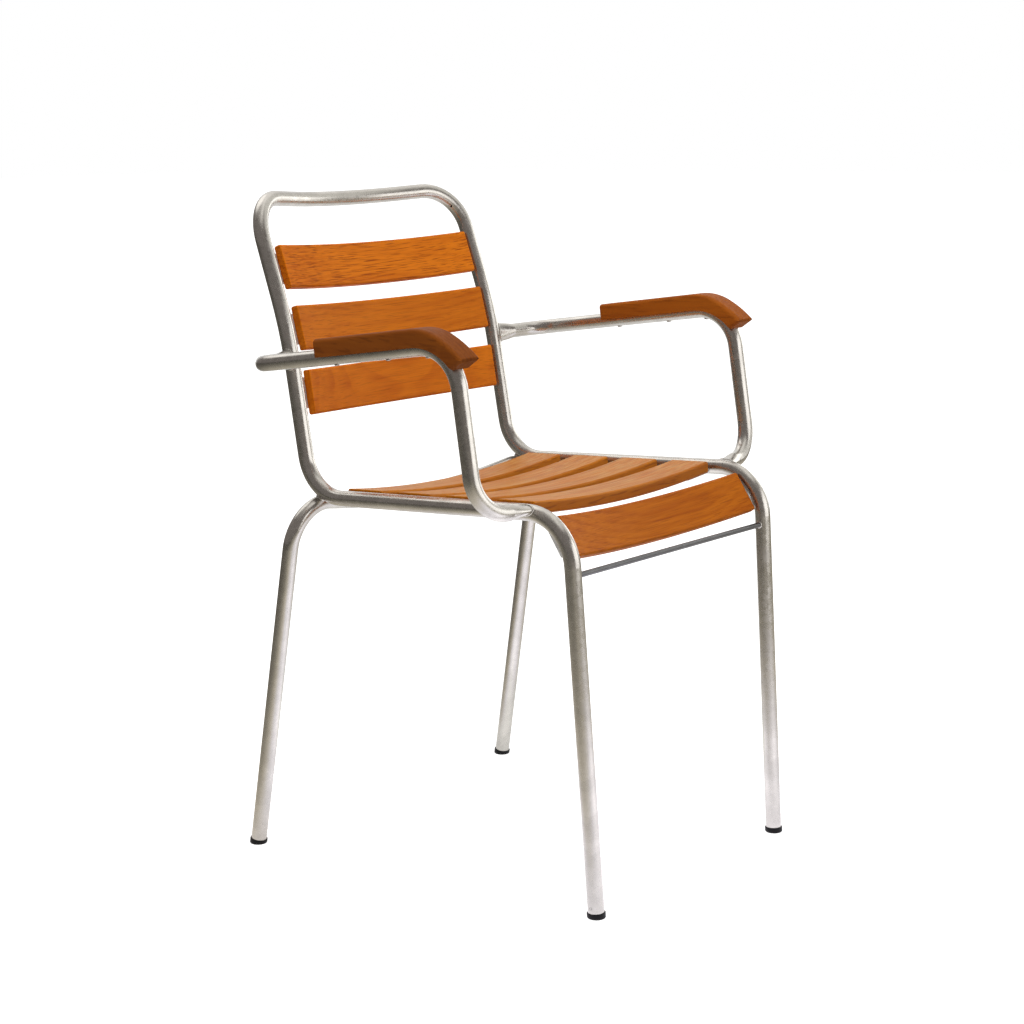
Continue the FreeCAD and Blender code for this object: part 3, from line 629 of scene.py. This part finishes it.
def screw_tree():
    """Geometry nodes: a domed screw with a cross recess on every point that comes in."""
    tree, given, result = maker_tree("Cross-head screw", [
        (label, "NodeSocketFloat", default) for label, default in [
            ("Head Radius", 0.004), ("Head Height", 0.0022), ("Recess", 0.0009), ("Shank Radius", 0.002),
            ("Shank Length", 0.006)]])
    radius, height = given.outputs["Head Radius"], given.outputs["Head Height"]

    def triple(x, y, z):
        return node(tree, "ShaderNodeCombineXYZ", {0: x, 1: y, 2: z}).outputs[0]

    def moved(shape, lift):
        return node(tree, "GeometryNodeTransform", {
            "Geometry": shape, "Translation": triple(0.0, 0.0, lift)}).outputs[0]

    ball = node(tree, "GeometryNodeMeshUVSphere", {"Segments": 28, "Rings": 14, "Radius": 1.0}).outputs[0]
    dome = node(tree, "GeometryNodeTransform", {"Geometry": ball, "Scale": triple(radius, radius, height)}).outputs[0]
    wide = math_node(tree, "MULTIPLY", radius, 4.0)
    lower = moved(node(tree, "GeometryNodeMeshCube", {"Size": triple(
        wide, wide, math_node(tree, "MULTIPLY", height, 2.0))}).outputs[0], math_node(tree, "MULTIPLY", height, -1.0))
    long = math_node(tree, "MULTIPLY", radius, 1.1)
    slots = [moved(node(tree, "GeometryNodeMeshCube", {"Size": size}).outputs[0], height) for size in (
        triple(long, given.outputs["Recess"], height), triple(given.outputs["Recess"], long, height))]
    head = node(tree, "GeometryNodeMeshBoolean", {"Mesh 1": dome}, operation="DIFFERENCE")
    for cutter in (lower, *slots):
        tree.links.new(cutter, head.inputs["Mesh 2"])
    shank = moved(node(tree, "GeometryNodeMeshCylinder", {
        "Vertices": 16, "Radius": given.outputs["Shank Radius"], "Depth": given.outputs["Shank Length"]}).outputs[0],
        math_node(tree, "MULTIPLY", given.outputs["Shank Length"], -0.5))
    whole = node(tree, "GeometryNodeJoinGeometry")
    for piece in (head.outputs[0], shank):
        tree.links.new(piece, whole.inputs[0])
    smooth = node(tree, "GeometryNodeSetShadeSmooth", {"Geometry": whole.outputs[0]}).outputs[0]
    bend = node(tree, "GeometryNodeInputMeshEdgeAngle").outputs[0]
    sharp = node(
        tree, "FunctionNodeCompare", {0: bend, 1: 0.6}, data_type="FLOAT", operation="GREATER_THAN").outputs[0]
    crisp = node(tree, "GeometryNodeSetShadeSmooth", {
        "Geometry": smooth, "Selection": sharp, "Shade Smooth": False}, domain="EDGE").outputs[0]
    way = node(tree, "GeometryNodeInputNamedAttribute", {"Name": "outward"}, data_type="FLOAT_VECTOR").outputs[0]
    turn = node(tree, "FunctionNodeAlignRotationToVector", {"Vector": way}, axis="Z").outputs[0]
    placed = node(tree, "GeometryNodeInstanceOnPoints", {
        "Points": given.outputs["Geometry"], "Instance": crisp, "Rotation": turn}).outputs[0]
    return end_maker(tree, placed, given, result)


def seats_mesh(name, seats):
    mesh = bpy.data.meshes.new(name)
    mesh.from_pydata([tuple(place) for place, _ in seats], [], [])
    outward = mesh.attributes.new("outward", "FLOAT_VECTOR", "POINT")
    for i, (_, way) in enumerate(seats):
        outward.data[i].vector = way
    return mesh


def drain_hole(mesh, place, out, radius, depth, rim, lip):
    """A bored hole drawn on a tube: a dark closed cup whose rim lies on the skin; its dark colour is painted shade
    for the unlit inside of the tube.
    """
    side = out.orthogonal().normalized()
    up = out.cross(side)
    rings = []
    for size, lift in [
            (radius + rim, -depth * 1.5), (radius + rim, lip), (radius, lip * 3),
            (radius * 0.85, -depth), (radius * 0.4, -depth)]:
        rings.append([mesh.verts.new(place + out * lift + (side * math.cos(a) + up * math.sin(a)) * size)
                      for a in [math.tau * i / 24 for i in range(24)]])
    for inner, outer in zip(rings[1:], rings):
        for i in range(24):
            k = (i + 1) % 24
            mesh.faces.new((outer[i], outer[k], inner[k], inner[i]))
    mesh.faces.new(rings[-1])
    mesh.faces.new(list(reversed(rings[0])))


# ---------------------------------------------------------------- operators


class CHAIR_OT_steel(bpy.types.Operator):
    """Gives the tubes, the rod and the lugs their zinc finish"""
    bl_idname = "chair.steel"
    bl_label = "Galvanised steel"

    def execute(self, context):
        steel = context.scene.chair_steel
        zinc = steel_material("galvanised tube", steel.zinc, steel.spangle, steel.roughness)
        dress(TUBE_NODES, zinc)
        # lugs get a lighter, less metallic zinc: painted light against the shade they sit in
        dress(LUG_NODES, steel_material(
            "lightened matt zinc plate", steel.plate, steel.spangle, steel.plate_roughness, steel.plate_metallic))
        # the front rod gets a much darker and rougher copy of the tube zinc
        dress(["front_cross_rod"], steel_material("darker rougher rod zinc", steel.rod, steel.spangle, steel.rod_roughness))
        return {"FINISHED"}


class CHAIR_OT_screws(bpy.types.Operator):
    """Makes the cross-head screws where the CAD screws are"""
    bl_idname = "chair.screws"
    bl_label = "Screws"

    def execute(self, context):
        steel = context.scene.chair_steel
        screws = context.scene.chair_screws
        plated = steel_material("plated screw", steel.screw_colour, steel.screw_grain, steel.screw_roughness)
        tree = screw_tree()
        for name in SCREW_NODES:
            seats = screw_seats(name, screws.cad_height)
            low = name == "armrest_screws"
            piece = baked("cross_head_" + name, seats_mesh(name + ".seats", seats), tree, {
                "Head Radius": screws.low_radius if low else screws.radius,
                "Head Height": screws.low_height if low else screws.height,
                "Recess": screws.recess, "Shank Radius": screws.shank / 2, "Shank Length": screws.shank_length,
                "Material": plated})
            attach(piece, "root")
            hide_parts(name)
        return {"FINISHED"}


class CHAIR_OT_slats(bpy.types.Operator):
    """Gives the seat, front and back slats their oiled wood"""
    bl_idname = "chair.slats"
    bl_label = "Slats"

    def execute(self, context):
        wood = context.scene.chair_wood
        for i, name in enumerate(SEAT_SLATS):
            dress([name], wood_material(
                "oiled " + name, wood.seat_light, wood.seat_dark, SEAT_TONE, SEAT_PORES, (0.03 * i, 0.02, 0.01),
                (0.7 * i, 0.03 + 0.011 * i, -0.37 + 0.02 * i), **WOOD_CUTS["seat"]))
        for i, (name, tone, pores) in enumerate(BACK_SLATS):
            dress([name], wood_material(
                "oiled " + name, wood.back_light, wood.back_dark, tone, pores, (0.2 * i, 0.012, 0.02),
                (0.9 * i, 0.07 - 0.02 * i, -0.60 + 0.03 * i), **WOOD_CUTS["back"]))
        return {"FINISHED"}


class CHAIR_OT_armrests(bpy.types.Operator):
    """Gives the two carved armrests their darker wood, with the grain from front to rear"""
    bl_idname = "chair.armrests"
    bl_label = "Armrests"

    def execute(self, context):
        wood = context.scene.chair_wood
        for i, (name, tone) in enumerate(ARMRESTS):
            dress([name], wood_material(
                "oiled " + name, wood.rest_light, wood.rest_dark, tone, REST_PORES,
                (0.0, 0.05, math.radians(-90 + 2 * i)), (0.4 * i, 0.33, -0.62), **WOOD_CUTS["rest"]))
        return {"FINISHED"}


class CHAIR_OT_plugs(bpy.types.Operator):
    """Gives the foot plugs their black plastic"""
    bl_idname = "chair.plugs"
    bl_label = "Foot plugs"

    def execute(self, context):
        colour = context.scene.chair_plugs.colour
        made, tree, surface = new_material("black foot plug")
        place = node(tree, "ShaderNodeTexCoord").outputs["Object"]
        grain = noise(tree, place, 900.0, 3.0, 0.6)
        height = node(tree, "ShaderNodeSeparateXYZ", {0: place}).outputs[2]
        dust = math_node(
            tree, "MULTIPLY", ramp(tree, height, 0.004, 0.0), ramp(tree, noise(tree, place, 130.0, 3.0), 0.4, 0.7))
        tone = mix_colour(tree, math_node(tree, "MULTIPLY", dust, 0.3), (*colour, 1), (0.05, 0.045, 0.04, 1))
        surface.inputs["Specular IOR Level"].default_value = 0.2
        bump = node(tree, "ShaderNodeBump", {"Strength": 0.25, "Distance": 0.0002, "Height": grain})
        tree.links.new(tone, surface.inputs["Base Color"])
        tree.links.new(ramp(tree, grain, 0.3, 0.7, 0.38, 0.52, False), surface.inputs["Roughness"])
        tree.links.new(bump.outputs[0], surface.inputs["Normal"])
        dress(FOOT_CAPS, made)
        return {"FINISHED"}


class CHAIR_OT_welds(bpy.types.Operator):
    """Lays the weld beads where the arms, the rod, the lugs and the rear legs meet the main frame"""
    bl_idname = "chair.welds"
    bl_label = "Weld beads"

    def execute(self, context):
        weld = context.scene.chair_welds
        main = merged_copy("main_frame")
        onto = BVHTree.FromBMesh(main)
        main.free()
        large, small = [], []
        for arm in ("left_arm_tube", "right_arm_tube"):
            large.append(end_ring(arm, onto, weld.reach, 40, lambda co: co.z < weld.arm_middle))
            large.append(end_ring(arm, onto, weld.reach, 40, lambda co: co.z > weld.arm_middle))
        for sign in (1, -1):
            large.append(crossing_ring("rear_leg_frame", onto, sign, weld.notch, 32))
            small.append(end_ring("front_cross_rod", onto, weld.reach, 24, lambda co: co.x * sign > 0))
        for lug in LUG_NODES:
            small.append(end_ring(lug, onto, weld.reach, 24))
        tree = bead_tree()
        zinc = bpy.data.materials["galvanised tube"]
        for name, loops, radius in [
                ("weld_beads_tubes", large, weld.bead_radius),
                ("weld_beads_small", small, weld.small_bead_radius)]:
            piece = baked(name, loops_mesh(name + ".lines", loops), tree, {
                "Radius": radius, "Ripple": weld.ripple, "Seed": weld.seed, "Material": zinc})
            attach(piece, "root")
        return {"FINISHED"}


class CHAIR_OT_drains(bpy.types.Operator):
    """Bores the small drain holes that let the zinc run out of the tube"""
    bl_idname = "chair.drains"
    bl_label = "Drain holes"

    def execute(self, context):
        drains = context.scene.chair_drains
        main = merged_copy("main_frame")
        skin = BVHTree.FromBMesh(main)
        main.free()
        # near-black colour of the cups: painted shade for the unlit inside of the tube
        made, tree, surface = new_material("painted shade in drain hole")
        place = node(tree, "ShaderNodeTexCoord").outputs["Object"]
        tree.links.new(mix_colour(
            tree, noise(tree, place, 900.0), (0.004, 0.004, 0.004, 1), (0.012, 0.011, 0.010, 1)),
            surface.inputs["Base Color"])
        surface.inputs["Roughness"].default_value = 0.9
        surface.inputs["Specular IOR Level"].default_value = 0.05
        mesh = bmesh.new()
        for near, radius in [(drains.top, drains.top_radius), (drains.foot, drains.foot_radius)]:
            for side in (1, -1):
                spot, out, _, gap = skin.find_nearest(Vector((near[0] * side, near[1], near[2])))
                if gap > drains.reach:
                    raise RuntimeError("a drain hole is off the tube")
                drain_hole(mesh, spot, out, radius, drains.depth, drains.rim, drains.lip)
        bmesh.ops.recalc_face_normals(mesh, faces=mesh.faces)
        data = bpy.data.meshes.new("drain_holes")
        mesh.to_mesh(data)
        mesh.free()
        data.materials.append(made)
        piece = bpy.data.objects.new("drain_holes", data)
        context.scene.collection.objects.link(piece)
        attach(piece, "root")
        return {"FINISHED"}


class CHAIR_OT_stage(bpy.types.Operator):
    """Sets up the pale floor, the studio light and the camera"""
    bl_idname = "chair.stage"
    bl_label = "Stage"

    def execute(self, context):
        stage = context.scene.chair_stage
        scene = context.scene
        turn, rise = stage.camera_turn, stage.camera_rise
        back = Vector((math.sin(turn) * math.cos(rise), -math.cos(turn) * math.cos(rise), math.sin(rise)))
        right = Vector((math.cos(turn), math.sin(turn), 0))
        self.floor(stage, Vector((back.x, back.y, 0)).normalized(), right)
        self.world(scene, stage, back, right)
        self.lamps(stage, back, right)
        self.camera(scene, stage, back, right)
        return {"FINISHED"}

    def floor(self, stage, back, right):
        mesh = bpy.data.meshes.new("floor")
        reach = FLOOR_REACH
        corners = [(-reach, -reach, 0), (reach, -reach, 0), (reach, reach, 0), (-reach, reach, 0)]
        mesh.from_pydata(corners, [], [(0, 1, 2, 3)])
        floor = bpy.data.objects.new("floor", mesh)
        bpy.context.scene.collection.objects.link(floor)
        made, tree, surface = new_material("studio floor")
        surface.inputs["Base Color"].default_value = (*stage.floor, 1)
        surface.inputs["Roughness"].default_value = 0.9
        surface.inputs["Specular IOR Level"].default_value = 0.0
        seen = node(tree, "ShaderNodeLightPath")
        glow = node(tree, "ShaderNodeEmission", {"Color": WHITE, "Strength": FLOOR_GLOW})
        lit = node(tree, "ShaderNodeAddShader", {0: surface.outputs[0], 1: glow.outputs[0]})
        place = node(tree, "ShaderNodeTexCoord").outputs["Object"]
        across = node(
            tree, "ShaderNodeVectorMath", {0: place, 1: tuple(right)}, operation="DOT_PRODUCT").outputs["Value"]
        near = ramp(tree, across, -1.0, 0.2, 0.07, 0.27)
        for spot, strength, spread in FLOOR_POOLS:
            offset = node(tree, "ShaderNodeVectorMath", {0: place, 1: spot}, operation="SUBTRACT").outputs[0]
            away = node(tree, "ShaderNodeVectorMath", {0: offset}, operation="LENGTH").outputs["Value"]
            fall = math_node(tree, "POWER", math_node(tree, "DIVIDE", away, spread), 2.0)
            pool = math_node(tree, "DIVIDE", strength, math_node(tree, "ADD", fall, 1.0))
            near = math_node(tree, "ADD", near, pool)
        whole = node(tree, "ShaderNodeVectorMath", {0: place}, operation="NORMALIZE").outputs[0]
        behind = node(
            tree, "ShaderNodeVectorMath", {0: whole, 1: tuple(-back)}, operation="DOT_PRODUCT").outputs["Value"]
        white = ramp(tree, behind, 0.76, 0.94)
        tone = mix_colour(tree, ramp(tree, near, 0.5, 1.3), (1, 0.92, 0.76, 1), (1, 0.985, 1.06, 1))
        tone = mix_colour(tree, white, tone, WHITE)
        share = math_node(tree, "MAXIMUM", near, white)
        mirrored = node(tree, "ShaderNodeEmission", {"Color": tone, "Strength": share})
        gloss = math_node(tree, "MAXIMUM", seen.outputs["Is Glossy Ray"], seen.outputs["Is Transmission Ray"])
        first = node(tree, "ShaderNodeMixShader", {0: gloss, 1: surface.outputs[0], 2: mirrored.outputs[0]})
        chosen = node(tree, "ShaderNodeMixShader", {
            0: seen.outputs["Is Camera Ray"], 1: first.outputs[0], 2: lit.outputs[0]})
        output = next(n for n in tree.nodes if n.type == "OUTPUT_MATERIAL")
        tree.links.new(chosen.outputs[0], output.inputs[0])
        mesh.materials.append(made)

    def world(self, scene, stage, back, right):
        """White behind and above the chair; what the metal mirrors elsewhere is a dim warm room."""
        world = bpy.data.worlds.new("studio")
        world.use_nodes = True
        scene.world = world
        tree = world.node_tree
        tree.nodes.clear()
        way = node(tree, "ShaderNodeTexCoord").outputs["Generated"]

        def towards(aim):
            return node(
                tree, "ShaderNodeVectorMath", {0: way, 1: tuple(aim.normalized())},
                operation="DOT_PRODUCT").outputs["Value"]

        level = Vector((back.x, back.y, 0)).normalized()
        up = Vector((0, 0, 1))
        rise = towards(up)
        dimmer = ramp(tree, towards(-right), -0.30, 0.20, 1.0, 0.25)
        room = (*stage.room, 1)
        for aim, low, high, light, dim in [  # a side window, the ceiling, two places high behind, the backdrop
                (Vector((0.80, -0.30, 0.45)), 0.78, 0.94, (0.85, 0.84, 0.80, 1), None),
                (up, 0.76, 0.94, (1.1, 1.08, 1.04, 1), dimmer),
                (up * 0.8 - level * 0.6, 0.84, 0.93, (1.1, 1.08, 1.05, 1), None),
                (up * 0.77 - level * 0.5 - right * 0.4, 0.89, 0.96, (1.6, 1.57, 1.53, 1), None),
                (-level, 0.76, 0.94, WHITE, None)]:
            share = ramp(tree, towards(aim), low, high)
            if dim is not None:
                share = math_node(tree, "MULTIPLY", share, dim)
            room = mix_colour(tree, share, room, light)
        above = ramp(tree, rise, -0.2, 0.9, 0.55, 1.35, False)
        seen = node(tree, "ShaderNodeLightPath")
        mirror = node(tree, "ShaderNodeBackground", {"Color": room, "Strength": 1.0})
        white = node(tree, "ShaderNodeBackground", {"Color": WHITE, "Strength": 1.0})
        soft = node(tree, "ShaderNodeBackground", {
            "Color": (1, 0.985, 0.96, 1), "Strength": math_node(tree, "MULTIPLY", above, stage.fill)})
        gloss = math_node(tree, "MAXIMUM", seen.outputs["Is Glossy Ray"], seen.outputs["Is Transmission Ray"])
        first = node(tree, "ShaderNodeMixShader", {0: gloss, 1: soft.outputs[0], 2: mirror.outputs[0]})
        second = node(tree, "ShaderNodeMixShader", {
            0: seen.outputs["Is Camera Ray"], 1: first.outputs[0], 2: white.outputs[0]})
        output = node(tree, "ShaderNodeOutputWorld")
        tree.links.new(second.outputs[0], output.inputs[0])

    def lamps(self, stage, back, right):
        """A large lamp above the chair, and a softbox and a window at the front that only the gloss shows."""
        centre = Vector((0, 0, 0.45))
        level = Vector((back.x, back.y, 0)).normalized()
        over = centre + level * 0.7 - right * 0.15 + Vector((0, 0, 2.3))
        for name, power, place, aim, width, height in [
                ("key", stage.key, over, centre - over, 1.6, 1.6),
                ("softbox", stage.side, Vector((0.32, -1.79, 0.88)), Vector((-0.526, 0.851, 0)), 1.85, 1.12),
                ("side window", stage.window, Vector((1.30, -0.10, 0.80)), Vector((-1, 0.1, 0)), 0.8, 0.75)]:
            lamp = bpy.data.lights.new(name, "AREA")
            lamp.shape = "RECTANGLE"
            lamp.size, lamp.size_y, lamp.energy = width, height, power
            made = bpy.data.objects.new(name, lamp)
            made.location = place
            made.rotation_mode = "QUATERNION"
            made.rotation_quaternion = aim.to_track_quat("-Z", "Y")
            made.visible_camera = False
            made.visible_diffuse = name == "key"
            made.visible_glossy = name != "key"
            bpy.context.scene.collection.objects.link(made)

    def camera(self, scene, stage, back, right):
        up = back.cross(right)
        roll = stage.camera_roll
        right_rolled = right * math.cos(roll) + up * math.sin(roll)
        up_rolled = up * math.cos(roll) - right * math.sin(roll)
        data = bpy.data.cameras.new("camera")
        data.lens, data.sensor_width = stage.lens, 36.0
        data.shift_x, data.shift_y = stage.camera_shift
        data.clip_start, data.clip_end = 0.05, 100.0
        camera = bpy.data.objects.new("camera", data)
        scene.collection.objects.link(camera)
        turned = Matrix((right_rolled, up_rolled, back)).transposed().to_4x4()
        camera.matrix_world = Matrix.Translation(Vector(stage.camera_place)) @ turned
        scene.camera = camera
        scene.view_settings.view_transform = "Standard"


class CHAIR_PT_panel(bpy.types.Panel):
    bl_idname = "CHAIR_PT_panel"
    bl_label = "Garden armchair"
    bl_space_type = "VIEW_3D"
    bl_region_type = "UI"
    bl_category = "Chair"

    def draw(self, context):
        for operator in OPERATORS:
            self.layout.operator(operator.bl_idname)
        for name in SETTINGS:
            group = getattr(context.scene, name)
            box = self.layout.box()
            for field in group.bl_rna.properties:
                if field.identifier not in ("rna_type", "name"):
                    box.prop(group, field.identifier)


OPERATORS = [
    CHAIR_OT_steel, CHAIR_OT_screws, CHAIR_OT_slats, CHAIR_OT_armrests,
    CHAIR_OT_plugs, CHAIR_OT_welds, CHAIR_OT_drains, CHAIR_OT_stage,
]
SETTINGS = {
    "chair_steel": ChairSteelSettings,
    "chair_screws": ChairScrewSettings,
    "chair_welds": ChairWeldSettings,
    "chair_drains": ChairDrainSettings,
    "chair_wood": ChairWoodSettings,
    "chair_plugs": ChairPlugSettings,
    "chair_stage": ChairStageSettings,
}


def register():
    for made in [*SETTINGS.values(), *OPERATORS, CHAIR_PT_panel]:
        bpy.utils.register_class(made)
    for name, kind in SETTINGS.items():
        setattr(bpy.types.Scene, name, PointerProperty(type=kind))


def unregister():
    for name in SETTINGS:
        delattr(bpy.types.Scene, name)
    for made in [CHAIR_PT_panel, *reversed(OPERATORS), *reversed(SETTINGS.values())]:
        bpy.utils.unregister_class(made)


def main():
    register()
    bpy.ops.chair.steel()
    bpy.ops.chair.screws()
    bpy.ops.chair.slats()
    bpy.ops.chair.armrests()
    bpy.ops.chair.plugs()
    bpy.ops.chair.welds()
    bpy.ops.chair.drains()
    bpy.ops.chair.stage()
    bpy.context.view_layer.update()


if __name__ == "__main__":
    main()
